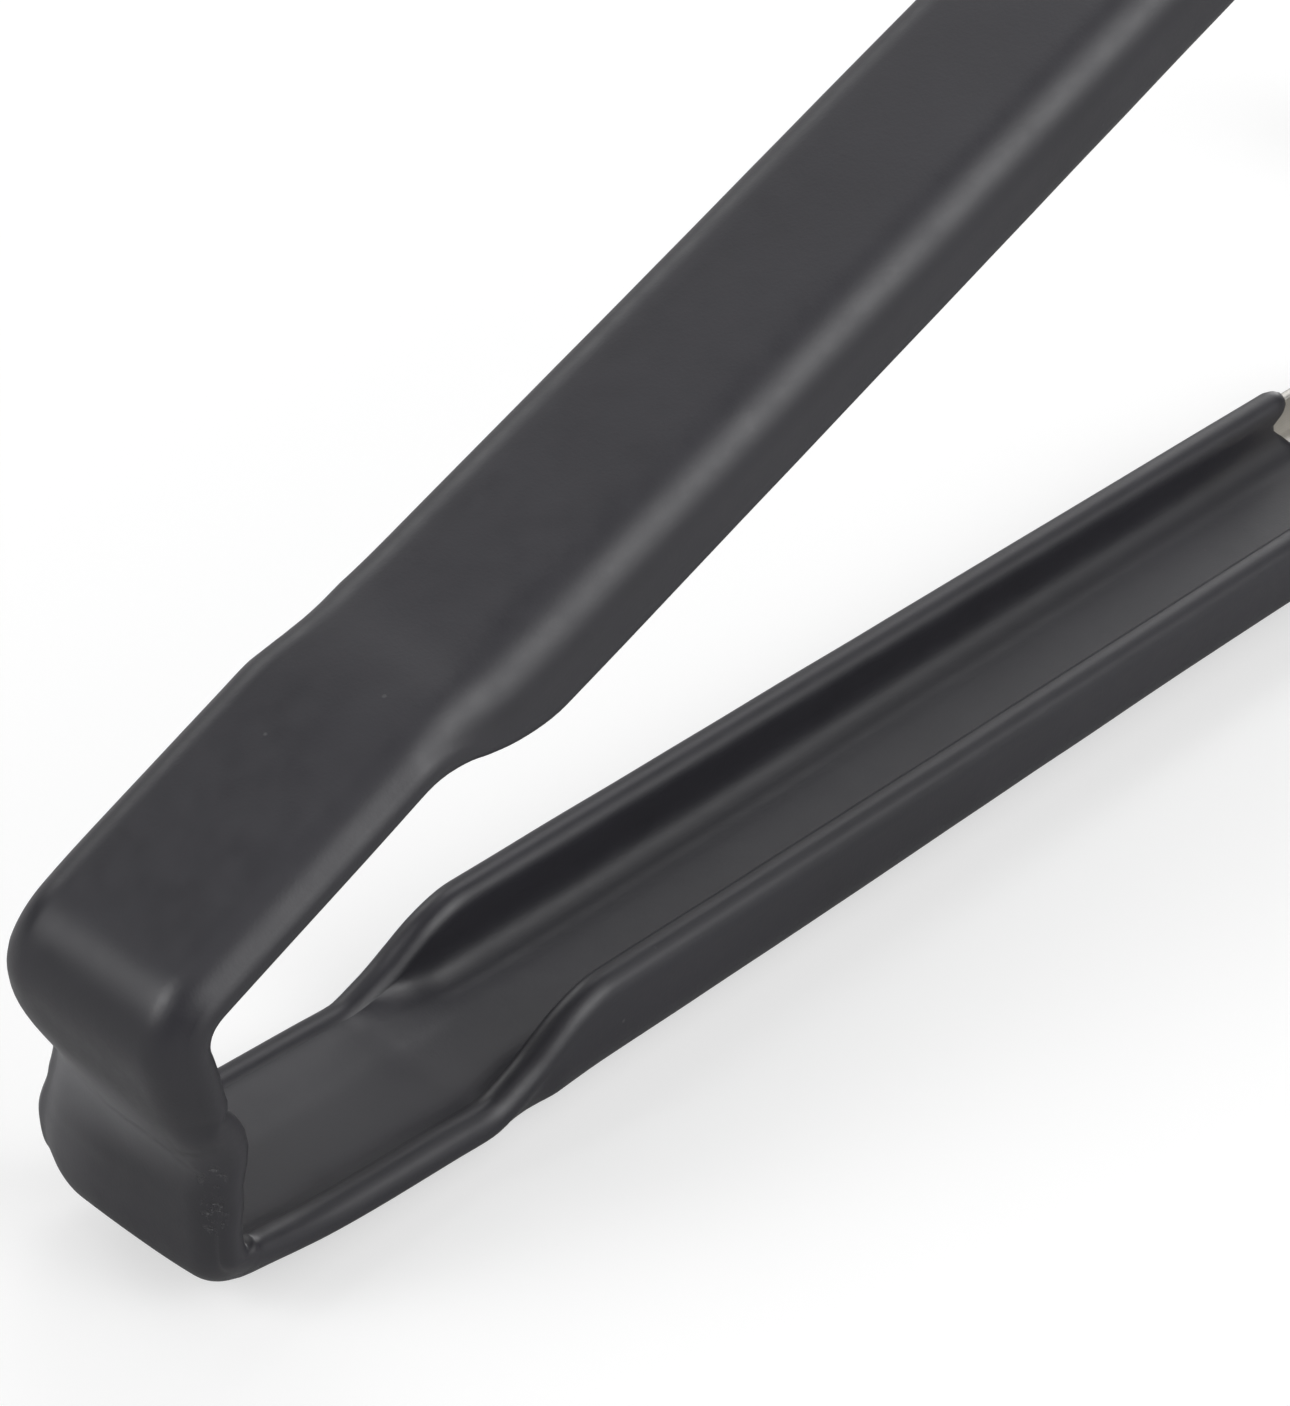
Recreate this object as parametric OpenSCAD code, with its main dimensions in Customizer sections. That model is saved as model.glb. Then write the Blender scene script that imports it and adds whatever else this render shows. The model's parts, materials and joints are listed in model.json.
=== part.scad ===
// Jar lifter: one-piece spring-steel tongs with a soft dip-coated handle and two
// riveted, coated jaws that close round the neck of a preserving jar.
// Frame: the lower arm lies along +X with the flat back of its grip sleeve on z = 0, the origin
// is at the middle of that face, the bow is at -X, the upper arm opens towards +Z, and Y = 0 is
// the plane of symmetry.

/* [Opening] */
// Angle between each arm and the centre line of the tongs, fully open
half_angle = 11.4; // [9:0.05:13]
// Height of the channel backs above the centre line where the bow starts
bow_half_height = 16.55; // [15:0.01:18]

/* [Coated handle] */
// Width over the coated channel section of the handle
grip_w = 20.3; // [19:0.1:22]
// Depth of the coated channel section
grip_depth = 9.5; // [8.5:0.1:11]
// Outside corner radius of the coated channel section
grip_corner_r = 4.8; // [4:0.1:6]
// Width over the coated flat strap at the bow
strap_w = 20.6; // [19.4:0.1:22.4]
// Thickness of the soft coating
coat_t = 1.1; // [0.8:0.05:1.2]
// Distance from the bow to the end of the coating, along an arm
coat_end = 164.5; // [140:0.5:170]
// Where the flanges start to rise out of the flat strap
shoulder_start = 34; // [31:0.5:36]
// Where the flanges reach their full depth
shoulder_end = 45; // [42:0.1:50]

/* [Steel strap] */
// Thickness of the spring steel
steel_t = 1.1; // [0.9:0.05:1.2]
// Where the flanges start to run out towards the jaw
taper_start = 177; // [174:1:182]
// Where the flanges have run out
taper_end = 202; // [196:1:203]
// Where the flat end of the arm bends inwards
arm_bend = 204; // [204:1:210]
// How far the flat end bends inwards
arm_bend_angle = 6; // [4:0.5:8]
// Length of the flat end beyond the bend
arm_tip = 22; // [21:0.5:23]

/* [Bow] */
// Radius of the bow corners, on the middle of the strap
bow_corner_r = 5.3; // [3:0.1:6]
// Distance of the end plate's mid surface from the bow datum
bow_plate_x = 1.2; // [0.8:0.1:2.8]
// Depth of the inward crease across the end plate
crease_depth = 2.2; // [1:0.1:2.4]
// Half height of the crease
crease_half_h = 6.5; // [6:0.25:9]

/* [Jaws] */
// Inside radius of the steel jaw band
jaw_r = 40; // [36:0.5:44]
// Height of the steel jaw band along the jar
jaw_h = 20; // [16:0.5:24]
// Straight distance between the two ends of the jaw band
jaw_chord = 62; // [56:1:66]
// Width of the tang that carries the jaw band
tang_w = 14; // [13:0.5:15]

/* [Rivets] */
// Radius of the rivet shank
rivet_r = 2; // [1.8:0.05:2.2]
// Radial clearance of the rivet holes
rivet_gap = 0.03; // [0.02:0.01:0.06]

/* [Hidden] */
$fn = 64;

steel_colour = [0.72, 0.71, 0.69];
coating_colour = [0.2, 0.2, 0.21];
rivet_colour = [0.78, 0.77, 0.75];

coated_t = steel_t + 2 * coat_t;
skin_gap = 0.02;                  // the coating's cavity clears the steel by this much
oversize = 40;                    // cutting shapes this size span the whole strap

// Handle, with x measured from the bow
rest_x = (shoulder_end + coat_end) / 2;       // middle of the flat resting face
axis_z = bow_half_height * cos(half_angle);   // height of the bow's centre above the table
flat_angle = 13.7;                // angle of the flat strap to the centre line, next to the bow
flat_back_z = bow_half_height - 0.57;   // back of that strap at the bow datum, off the centre line
bow_cut = 10;                     // where the bow ends and the arms start, along the centre line
level_start = 29.9;               // where the back of the strap starts to level out on z = 0
level_length = 8;
strap_overrun = 3;                // the flat strap is drawn this far past the cut, then trimmed
mid_arm = 100;                    // a place between the shoulder and the taper
flat_back_start = taper_start + 8;      // where the bare channel's back is flattened
flat_back_inset = 2.4;
bend_overlap = 0.5;               // the channel runs this far past the bend

// Flat end of the arm, with x measured from the bend
tip_w = 18;
tip_end_r = 6;                    // corners at the free end
tip_root_r = 2.2;                 // corners at the bend
tip_root_x = 2;                   // centres of those corners
tip_overlap = 0.4;                // how far the flat end runs back past the bend
rivet_places = [7.5, 17];
outer_head = [3.6, 0.8];          // radius and height of the rivet's outer head
inner_head = [3.3, 1.2];          // and of its inner head

// Jaw, with x measured from the bend
jaw_start = arm_tip + 4.5;        // where the steel band starts
jaw_coat_start = arm_tip + 0.6;   // where its coating starts, on the tang
jaw_corner_r = 7;
jaw_coat_corner_r = 8;
gusset_r = 6;                     // fillets between the tang and the band
jaw_trim = 8;                     // the band stops this far short of its cylinder's axis
tang_start = 1.5;
tang_corner_r = 4.5;
tang_end = jaw_start + 3;         // the flat tang runs this far, into the band

function ease(t) = t <= 0 ? 0 : t >= 1 ? 1 : t * t * (3 - 2 * t);
function mix(from, to, share) = from + (to - from) * share;
function stations(from, to, count) = [for (i = [0:count]) from + (to - from) * i / count];

// ---- Frames ----

// Centre-line frame (x, z) to the lower arm's frame: as a point, and for solids
function from_centre_line(x, z) = [
    x * cos(half_angle) - z * sin(half_angle),
    x * sin(half_angle) + z * cos(half_angle) + axis_z
];

module centre_line_frame() {
    translate([0, 0, axis_z]) rotate([0, -half_angle, 0]) children();
}

// Mirrors lower parts in the centre line
module upper_half() {
    centre_line_frame() mirror([0, 0, 1])
        rotate([0, half_angle, 0]) translate([0, 0, -axis_z]) children();
}

// Frame of the arm's flat end: x along it, z inwards from its outer face
module tip_frame() {
    translate([arm_bend, 0, coat_t]) rotate([0, -arm_bend_angle, 0]) children();
}

// Moves the origin from the bow to the middle of the lower grip's resting face
module place() {
    translate([-rest_x, 0, 0]) children();
}

// ---- Side profile of the lower arm, as heights above the table ----

// Back of the coated strap where the arm meets the bow
arm_start = from_centre_line(bow_cut, -(flat_back_z + tan(flat_angle) * bow_cut));

function back(x) = (arm_start[1] + tan(half_angle - flat_angle) * (x - arm_start[0]))
    * (1 - ease((x - level_start) / level_length));

function shoulder(x) = ease((x - shoulder_start) / (shoulder_end - shoulder_start));

function coated_rim(x) = mix(back(x) + coated_t, grip_depth, shoulder(x));

function steel_rim(x) = x < mid_arm
    ? mix(back(x) + coat_t + steel_t, grip_depth - coat_t, shoulder(x))
    : mix(grip_depth - coat_t, coat_t + steel_t,
          ease((x - taper_start) / (taper_end - taper_start)));

// ---- Shared shapes ----

// A slab with a side profile in x and z, centred on y = 0
module side_slab(points, w = oversize) {
    rotate([90, 0, 0]) translate([0, 0, -w / 2]) linear_extrude(height = w) polygon(points);
}

module along_x(from, to) {
    translate([from, 0, 0]) rotate([90, 0, 90]) linear_extrude(height = to - from) children();
}

// Open channel section, with the outside corner radius corner_r
module channel_2d(w, back_z, rim_z, wall, corner_r) {
    corner_z = back_z + corner_r;
    corner_y = w / 2 - corner_r;
    difference() {
        union() {
            translate([-corner_y, back_z]) square([2 * corner_y, rim_z - back_z]);
            translate([-w / 2, corner_z]) square([w, rim_z - corner_z]);
            for (side = [-1, 1]) translate([side * corner_y, corner_z]) circle(r = corner_r);
        }
        union() {
            translate([-corner_y, back_z + wall]) square([2 * corner_y, rim_z - back_z]);
            translate([-w / 2 + wall, corner_z]) square([w - 2 * wall, rim_z - back_z]);
            for (side = [-1, 1])
                translate([side * corner_y, corner_z]) circle(r = corner_r - wall);
        }
    }
}

// Everything on the bow's side of the plane where the lower arm meets the bow
module bow_side() {
    size = oversize / 2;
    translate([arm_start[0], 0, arm_start[1]]) rotate([0, flat_angle - half_angle, 0])
        translate([-size, -size, -size]) cube([size, 2 * size, 2 * size]);
}

// Flat strap from the bow to the shoulder, low to high above the coated back. Its side profile
// stops at profile_end; its plan narrows from narrow_start to plan_end, under the channel corners.
module flat_strap(w, low, high, profile_end, narrow_start, plan_end) {
    start = arm_start[0] - strap_overrun;
    narrow_y = w / 2 - 4;
    intersection() {
        side_slab(concat([for (x = stations(start, profile_end, 14)) [x, back(x) + low]],
                         [for (x = stations(profile_end, start, 14)) [x, back(x) + high]]));
        linear_extrude(height = oversize, center = true)
            polygon([[-20, -w / 2], [narrow_start, -w / 2], [plan_end, -narrow_y],
                     [plan_end, narrow_y], [narrow_start, w / 2], [-20, w / 2]]);
    }
}

// ---- Arms ----

// Steel of one arm up to the bend, larger all round by grow
module arm_steel(grow = 0) {
    w = grip_w - 2 * coat_t + 2 * grow;
    low = coat_t - grow;
    high = coat_t + steel_t + grow;
    flat_end = 44;
    channel_end = arm_bend + bend_overlap;
    rim_stations = concat(stations(taper_end, taper_start, 10), stations(50, shoulder_start, 12));
    difference() {
        flat_strap(w = strap_w - 2 * coat_t + 2 * grow, low = low, high = high,
                   profile_end = flat_end, narrow_start = shoulder_start, plan_end = flat_end);
        bow_side();
    }
    intersection() {
        along_x(shoulder_start, channel_end)
            channel_2d(w = w, back_z = low, rim_z = grip_depth - coat_t + grow,
                       wall = steel_t + 2 * grow, corner_r = grip_corner_r - coat_t + grow);
        side_slab(concat([[shoulder_start, low], [channel_end, low], [channel_end, high]],
                         [for (x = rim_stations) [x, steel_rim(x) + grow]]));
    }
    // the back of the channel, flattened, up to the bend
    translate([flat_back_start, -w / 2 + flat_back_inset, coat_t])
        cube([arm_bend - flat_back_start, w - 2 * flat_back_inset, steel_t]);
}

// Plan outline of the arm's flat end
module tip_2d() {
    end_x = arm_tip - tip_end_r;
    end_y = tip_w / 2 - tip_end_r;
    root_y = tip_w / 2 - tip_root_r;
    translate([-tip_overlap, -root_y]) square([end_x + tip_overlap, 2 * root_y]);
    translate([tip_root_x, -tip_w / 2]) square([end_x - tip_root_x, tip_w]);
    translate([end_x - 2, -end_y]) square([tip_end_r + 2, 2 * end_y]);
    for (side = [-1, 1]) {
        translate([end_x, side * end_y]) circle(r = tip_end_r);
        translate([tip_root_x, side * root_y]) circle(r = tip_root_r);
    }
}

module rivet_holes() {
    for (x = rivet_places)
        translate([x, 0, -2]) cylinder(r = rivet_r + rivet_gap, h = 8);
}

module arm_blank() {
    difference() {
        union() {
            arm_steel();
            tip_frame() linear_extrude(height = steel_t) tip_2d();
        }
        tip_frame() rivet_holes();
    }
}

// Coating of one arm: the coated outline less the steel, with rounded rims
module grip_skin() {
    rim_z = grip_depth - coated_t / 2;
    rim_end = 52;
    difference() {
        union() {
            flat_strap(w = strap_w, low = 0, high = coated_t, profile_end = 45,
                       narrow_start = shoulder_start + 1, plan_end = 46);
            intersection() {
                along_x(shoulder_start, coat_end) union() {
                    channel_2d(w = grip_w, back_z = 0, rim_z = rim_z,
                               wall = coated_t, corner_r = grip_corner_r);
                    for (side = [-1, 1])
                        translate([side * (grip_w - coated_t) / 2, rim_z]) circle(d = coated_t);
                }
                side_slab(concat(
                    [for (x = stations(shoulder_start, rim_end, 14)) [x, back(x)]],
                    [[coat_end, 0], [coat_end, grip_depth]],
                    [for (x = stations(rim_end, shoulder_start, 14)) [x, coated_rim(x)]]));
            }
        }
        bow_side();
        arm_steel(skin_gap);
    }
}

// ---- Bow, in the centre-line frame ----

corner_turn = 90 - flat_angle;

// Middle of the upper flat strap
function flat_middle(x) = flat_back_z - (coated_t / 2) / cos(flat_angle) + tan(flat_angle) * x;

// Where the end plate meets the upper corner
corner_z = flat_middle(bow_plate_x + bow_corner_r * (1 - cos(corner_turn)))
    - bow_corner_r * sin(corner_turn);
bow_end_x = bow_cut + sin(flat_angle) * coated_t / 2 - skin_gap * cos(flat_angle);

// Middle of the end plate with its cosine crease, and the plate's outward normal
function plate_x(z) = bow_plate_x
    + (abs(z) < crease_half_h ? crease_depth * (1 + cos(180 * z / crease_half_h)) / 2 : 0);
function plate_slope(z) = abs(z) < crease_half_h
    ? -crease_depth * (PI / crease_half_h) * sin(180 * z / crease_half_h) / 2 : 0;
function plate_normal(z) = let (slope = plate_slope(z)) [-1, slope] / sqrt(1 + slope * slope);

// Middle of the strap from the crease to the upper cut: entries are [[x, z], outward normal]
bow_half = concat(
    [for (z = stations(0, corner_z, 16)) [[plate_x(z), z], plate_normal(z)]],
    [for (i = [1:10]) let (turn = corner_turn * i / 10)
        [[bow_plate_x + bow_corner_r * (1 - cos(turn)), corner_z + bow_corner_r * sin(turn)],
         [-cos(turn), sin(turn)]]],
    [[[bow_end_x, flat_middle(bow_end_x)], [-sin(flat_angle), cos(flat_angle)]]]);

function flip(v) = [v[0], -v[1]];

// The same all the way round, from the lower cut to the upper one
bow_path = concat(
    [for (i = [len(bow_half) - 1:-1:1]) [flip(bow_half[i][0]), flip(bow_half[i][1])]],
    bow_half);

// A bent strap that follows the bow, t thick, w wide, each end run on by over
module bow_strap(t, w, over = 0) {
    last = len(bow_path) - 1;
    run_on = over * [cos(flat_angle), sin(flat_angle)];
    middle = [for (i = [0:last])
        bow_path[i][0] + (i == 0 ? flip(run_on) : i == last ? run_on : [0, 0])];
    centre_line_frame()
        side_slab(concat([for (i = [0:last]) middle[i] + bow_path[i][1] * t / 2],
                         [for (i = [last:-1:0]) middle[i] - bow_path[i][1] * t / 2]), w);
}

module bow_steel(grow = 0, over = 0) {
    bow_strap(steel_t + 2 * grow, strap_w - 2 * coat_t + 2 * grow, over);
}

module bow_skin() {
    difference() {
        bow_strap(coated_t, strap_w);
        bow_steel(grow = skin_gap, over = 1);
    }
}

// ---- Jaws, in the tip frame ----

// Curved sheet of thickness t centred on the steel band, from x = start to x = end, cut to the
// plan outline of its children (x along the tip, y across)
module jaw_sheet(t, start, end) {
    middle_r = jaw_r + steel_t / 2;
    length = end - start;
    translate([0, 0, jaw_r + 2 * steel_t]) intersection() {
        rotate([0, 90, 0]) translate([0, 0, start]) difference() {
            cylinder(r = middle_r + t / 2, h = length, $fn = 160);
            translate([0, 0, -1]) cylinder(r = middle_r - t / 2, h = length + 2, $fn = 160);
        }
        translate([0, 0, -2 * jaw_r]) linear_extrude(height = 2 * jaw_r - jaw_trim) children();
    }
}

// Plan outline of the jaw band, grown all round, with corners of radius corner_r
module band_2d(grow, corner_r) {
    start = jaw_start - grow;
    end = jaw_start + jaw_h + grow;
    chord = jaw_chord + 2 * grow;
    translate([start, -chord / 2 + corner_r]) square([end - start, chord - 2 * corner_r]);
    translate([start + corner_r, -chord / 2]) square([end - start - 2 * corner_r, chord]);
    for (side = [-1, 1], x = [start + corner_r, end - corner_r])
        translate([x, side * (chord / 2 - corner_r)]) circle(r = corner_r);
}

// Fillets where the tang runs into the band, with the steel grown all round
module gusset_2d(grow) {
    start = jaw_start - grow;
    fillet_r = gusset_r - grow;
    fillet_y = tang_w / 2 + grow + fillet_r;
    difference() {
        translate([start - fillet_r, -fillet_y]) square([fillet_r + 1, 2 * fillet_y]);
        for (side = [-1, 1])
            translate([start - fillet_r, side * fillet_y]) circle(r = fillet_r);
    }
}

// Plan outline of the flat tang
module tang_2d(grow) {
    corner_x = tang_start + tang_corner_r;
    corner_y = tang_w / 2 - tang_corner_r;
    translate([corner_x, -tang_w / 2 - grow]) square([tang_end - corner_x, tang_w + 2 * grow]);
    translate([tang_start - grow, -corner_y]) square([8, 2 * corner_y]);
    for (side = [-1, 1])
        translate([corner_x, side * corner_y]) circle(r = tang_corner_r + grow);
}

// Band and tang, larger all round by grow
module jaw_steel(grow = 0) {
    jaw_sheet(steel_t + 2 * grow, jaw_start - gusset_r, jaw_start + jaw_h + grow) union() {
        band_2d(grow, jaw_corner_r + grow);
        gusset_2d(grow);
    }
    translate([0, 0, steel_t - grow]) linear_extrude(height = steel_t + 2 * grow) tang_2d(grow);
}

module jaw_blank() {
    tip_frame() difference() {
        jaw_steel();
        rivet_holes();
    }
}

module jaw_skin() {
    tip_frame() difference() {
        union() {
            jaw_sheet(coated_t, jaw_coat_start, jaw_start + jaw_h + coat_t) union() {
                band_2d(coat_t, jaw_coat_corner_r);
                intersection() {
                    gusset_2d(coat_t);
                    translate([jaw_coat_start, -20]) square([10, 40]);
                }
            }
            translate([jaw_coat_start, -tang_w / 2, steel_t - coat_t])
                cube([tang_end - jaw_coat_start, tang_w, coated_t]);
        }
        jaw_steel(skin_gap);
    }
}

// ---- Rivets ----

// Spherical cap on z = 0; size is [radius, height]
module dome(size) {
    r = size[0];
    h = size[1];
    sphere_r = (r * r + h * h) / (2 * h);
    intersection() {
        translate([0, 0, h - sphere_r]) sphere(r = sphere_r, $fn = 96);
        cylinder(r = r, h = h);
    }
}

module rivet_pair() {
    tip_frame() for (x = rivet_places) translate([x, 0, 0]) {
        cylinder(r = rivet_r, h = 2 * steel_t);
        translate([0, 0, 2 * steel_t]) dome(inner_head);
        mirror([0, 0, 1]) dome(outer_head);
    }
}

// ---- Nodes ----

module lower_arm() {
    color(steel_colour) place() arm_blank();
}

module upper_arm() {
    color(steel_colour) place() upper_half() arm_blank();
}

module bow_spring() {
    color(steel_colour) place() bow_steel();
}

module lower_grip_sleeve() {
    color(coating_colour) place() grip_skin();
}

module upper_grip_sleeve() {
    color(coating_colour) place() upper_half() grip_skin();
}

module bow_sleeve() {
    color(coating_colour) place() bow_skin();
}

module lower_jaw() {
    color(steel_colour) place() jaw_blank();
}

module upper_jaw() {
    color(steel_colour) place() upper_half() jaw_blank();
}

module lower_jaw_coating() {
    color(coating_colour) place() jaw_skin();
}

module upper_jaw_coating() {
    color(coating_colour) place() upper_half() jaw_skin();
}

module lower_jaw_rivets() {
    color(rivet_colour) place() rivet_pair();
}

module upper_jaw_rivets() {
    color(rivet_colour) place() upper_half() rivet_pair();
}

lower_arm();
upper_arm();
bow_spring();
lower_grip_sleeve();
upper_grip_sleeve();
bow_sleeve();
lower_jaw();
upper_jaw();
lower_jaw_coating();
upper_jaw_coating();
lower_jaw_rivets();
upper_jaw_rivets();
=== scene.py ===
# Sprung tongs: one bent strap of spring steel in a dipped vinyl grip, with a riveted,
# vinyl-coated jaw on the flat end of each arm.
#
# Row frame: the lower arm's back lies along +x at about z 0, with the bow at the low-x end.
# Y runs across the strap and z up.
# Centre-line frame: x runs along the middle line between the arms from the bow, and the
# lower and upper halves lie at -z and +z. It is the row frame turned by ARM_ANGLE about y.
# Shapes are worked out in mm and become metres when the meshes are made.
import json
import math
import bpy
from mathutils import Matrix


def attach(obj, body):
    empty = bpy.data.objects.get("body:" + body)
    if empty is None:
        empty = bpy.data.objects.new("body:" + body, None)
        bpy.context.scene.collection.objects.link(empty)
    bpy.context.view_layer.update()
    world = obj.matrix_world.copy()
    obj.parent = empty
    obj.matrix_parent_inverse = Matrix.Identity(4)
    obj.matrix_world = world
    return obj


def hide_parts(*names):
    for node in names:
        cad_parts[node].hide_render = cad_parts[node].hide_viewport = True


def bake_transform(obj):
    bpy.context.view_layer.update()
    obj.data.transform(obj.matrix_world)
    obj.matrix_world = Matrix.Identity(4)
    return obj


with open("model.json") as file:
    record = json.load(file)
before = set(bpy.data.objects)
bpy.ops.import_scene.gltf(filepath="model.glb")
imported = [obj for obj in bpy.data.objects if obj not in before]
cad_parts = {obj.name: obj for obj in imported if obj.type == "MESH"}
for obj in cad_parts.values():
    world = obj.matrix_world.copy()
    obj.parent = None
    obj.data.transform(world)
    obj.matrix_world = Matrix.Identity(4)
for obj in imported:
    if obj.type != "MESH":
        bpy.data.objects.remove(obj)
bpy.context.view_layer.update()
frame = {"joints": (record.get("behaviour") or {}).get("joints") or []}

from types import SimpleNamespace

import bmesh
import bpy
import numpy as np
from mathutils import Matrix, Vector, noise
from mathutils.geometry import delaunay_2d_cdt

# ---------------------------------------------------------------- dimensions, mm and degrees
ARM_ANGLE = 11.4             # half angle of the tongs
BACK = 1.65                  # depth of the steel's mid surface below the coated back
STEEL = 1.1
COAT_END = 164.5             # along an arm, as are RIM_FADE and BEND
RIM_FADE, RIM_FADE_LEN = 176, 27     # where the rims run out to flat, and over what length
TIP_LEN, BEND, BEND_ANGLE = 22.0, 204.0, 6.0     # the flat end beyond the arm's bend
TIP_CORNER, TIP_CORNER_Y = 6.0, 2.5  # radius of the end's corners, and their centres' y

JAW_RADIUS, JAW_LEN, JAW_WIDTH, TANG_WIDTH = 40.0, 20.0, 62.0, 14.0
JAW_START = TIP_LEN + 4.5    # from the bend, like the rivets
JAW_MID_RADIUS = JAW_RADIUS + STEEL / 2
ROLL_START = 19.0            # where the flat tang starts to curve
NECK_RADIUS, JAW_CORNER, TANG_CORNER = 6.0, 7.0, 4.5
JAW_COAT = 1.1               # the vinyl's thickness on the jaw
RIVETS = (7.5, 17.0)

COS, SIN = math.cos(math.radians(ARM_ANGLE)), math.sin(math.radians(ARM_ANGLE))
AXIS_Z = 16.55 * COS         # row z of the centre line at the bow
PIVOT = [j for j in frame["joints"] if j["name"] == "squeeze"][0]["pos_m"]
SHIFT = PIVOT[0] * 1000 - 5.4 * COS      # row x of the bow's centre

# The line of the coated back. Pairs are the values before and after a change along x.
BOW_Z = 16.56                # height of the arms' straight lines at x 0
SLOPE_BLEND = (26.03, 33.39) # x range from the bow's straight slope to the arm's line
SWELL_FADE = (46, 90)        # x where the swell starts to fade, and over what length
RIPPLE_WIDTH = 3.6
END_X, END_TILT = -0.486, 0.309      # the end plate between the two bow corners
CREASE_DEPTH = 2.593
LINE_STEP, LINE_BLUR = 0.1, 0.574
# The strap's section.
SHOULDER = (28.0, 42.3)      # x range over which the section deepens
RIM_DEPTH = (1.247, 6.193)
HALF_WIDTH = (8.674, 8.521)
CORNER_RADIUS = (2.3, 2.85)
RIM_KNOTS = (0, 2.5, 5, 8, 11, 14, 18)   # distance from the bow's middle, for each half's rims

UPPER = SimpleNamespace(
    sign=1, slope_z=15.855, slope=13.69, swell=-0.2, swell_start=30.0, swell_rise=14.0,
    ripple=0.42, ripple_x=32.5, bow_radius=7.04, crease_width=2.607, crease_power=1.603,
    rims=(0.80, 1.00, 1.75, 1.75, 1.65, 1.42, RIM_DEPTH[0]))
LOWER = SimpleNamespace(
    sign=-1, slope_z=16.144, slope=13.67, swell=1.0, swell_start=25.5, swell_rise=12.0,
    ripple=0.35, ripple_x=31.5, bow_radius=5.64, crease_width=3.6, crease_power=1.4,
    rims=(0.85, 0.85, 1.15, 0.85, 0.75, 1.15, 1.347))

# Segments of half a section: back, corner, flange and rounded rim edge.
BACK_N, CORNER_N, FLANGE_N, EDGE_N = 5, 8, 5, 8
INSIDE = BACK_N + CORNER_N + FLANGE_N + EDGE_N + 1       # first point of the inner face
HALF_POINTS = INSIDE + BACK_N + CORNER_N + FLANGE_N


def ease(t):
    t = np.clip(t, 0.0, 1.0)
    return t * t * (3 - 2 * t)


def ease5(t):
    t = np.clip(t, 0.0, 1.0)
    return t * t * t * (10 - 15 * t + 6 * t * t)


def bell(value, centre, width):
    return math.exp(-((value - centre) / width) ** 2)


def hermite(x, xs, ys):
    """Monotone cubic through the knots."""
    xs, ys = np.array(xs, float), np.array(ys, float)
    rates = np.diff(ys) / np.diff(xs)
    slopes = np.zeros(len(xs))
    for i in range(1, len(xs) - 1):
        before, after = rates[i - 1], rates[i]
        slopes[i] = 0 if before * after <= 0 else 2 * before * after / (before + after)
    x = float(np.clip(x, xs[0], xs[-1]))
    i = int(min(np.searchsorted(xs, x, "right") - 1, len(xs) - 2))
    gap = xs[i + 1] - xs[i]
    t = (x - xs[i]) / gap
    return float((1 + 2 * t) * (1 - t) ** 2 * ys[i] + t * (1 - t) ** 2 * gap * slopes[i]
                 + t * t * (3 - 2 * t) * ys[i + 1] + t * t * (t - 1) * gap * slopes[i + 1])


def to_row(points):
    """Centre-line frame, mm, to the row frame, mm."""
    points = np.asarray(points, float)
    x, z = points[..., 0], points[..., 2]
    return np.stack([x * COS - z * SIN + SHIFT, points[..., 1], x * SIN + z * COS + AXIS_Z], -1)


# ---------------------------------------------------------------- the strap's line
def swell_at(x, half):
    start, length = SWELL_FADE
    return ease((x - half.swell_start) / half.swell_rise) * (1 - ease((x - start) / length))


def back_z(x, half):
    near_bow = half.slope_z + math.tan(math.radians(half.slope)) * x
    arm = BOW_Z + math.tan(math.radians(ARM_ANGLE)) * x
    start, end = SLOPE_BLEND
    return near_bow + (arm - near_bow) * ease5((x - start) / (end - start)) \
        + half.swell * swell_at(x, half) \
        + half.ripple * np.exp(-((x - half.ripple_x) / RIPPLE_WIDTH) ** 2)


def arm_x(row):
    """Centre-line x of the point of an arm's back that is row along the arm from the bow."""
    return (row - BOW_Z * SIN) * COS


def resample(points, step):
    lengths = np.r_[0, np.cumsum(np.hypot(*np.diff(points, axis=0).T))]
    at = np.arange(0, lengths[-1], step)
    return np.stack([np.interp(at, lengths, points[:, i]) for i in range(2)], 1)


def smooth_line(points, sigma):
    reach = int(sigma * 3) + 1
    kernel = np.exp(-0.5 * (np.arange(-reach, reach + 1) / sigma) ** 2)
    kernel /= kernel.sum()
    padded = np.vstack([2 * points[0] - points[reach:0:-1], points,
                        2 * points[-1] - points[-2:-reach - 2:-1]])
    return np.stack([np.convolve(padded[:, i], kernel, "valid") for i in range(2)], 1)


def half_line(half):
    """Back line of one half from the bow's middle to the tip, with z away from the axis."""
    bow_turn = math.pi / 2 - math.radians(half.slope)
    radius = half.bow_radius
    top_x = END_X + half.sign * END_TILT
    corner_z = float(back_z(top_x, half)) - radius * math.tan(bow_turn / 2)
    z = np.arange(0, corner_z - LINE_STEP, LINE_STEP)
    plate_x = END_X + half.sign * END_TILT * ease(z / 9.0)
    crease = CREASE_DEPTH * np.exp(-np.abs(z / half.crease_width) ** half.crease_power)
    plate = np.stack([plate_x + crease, z], 1)
    angle = np.linspace(0, bow_turn, 60)
    corner = np.stack([top_x + radius * (1 - np.cos(angle)),
                       corner_z + radius * np.sin(angle)], 1)
    x = np.arange(corner[-1, 0] + LINE_STEP, arm_x(BEND), LINE_STEP)
    arm = np.stack([x, back_z(x, half)], 1)
    tip_angle = math.radians(ARM_ANGLE - BEND_ANGLE)
    run = np.arange(LINE_STEP, TIP_LEN + 0.15, LINE_STEP)
    tip = arm[-1] + np.stack([run * math.cos(tip_angle), run * math.sin(tip_angle)], 1)
    return resample(np.vstack([plate, corner, arm, tip]), LINE_STEP)


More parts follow.
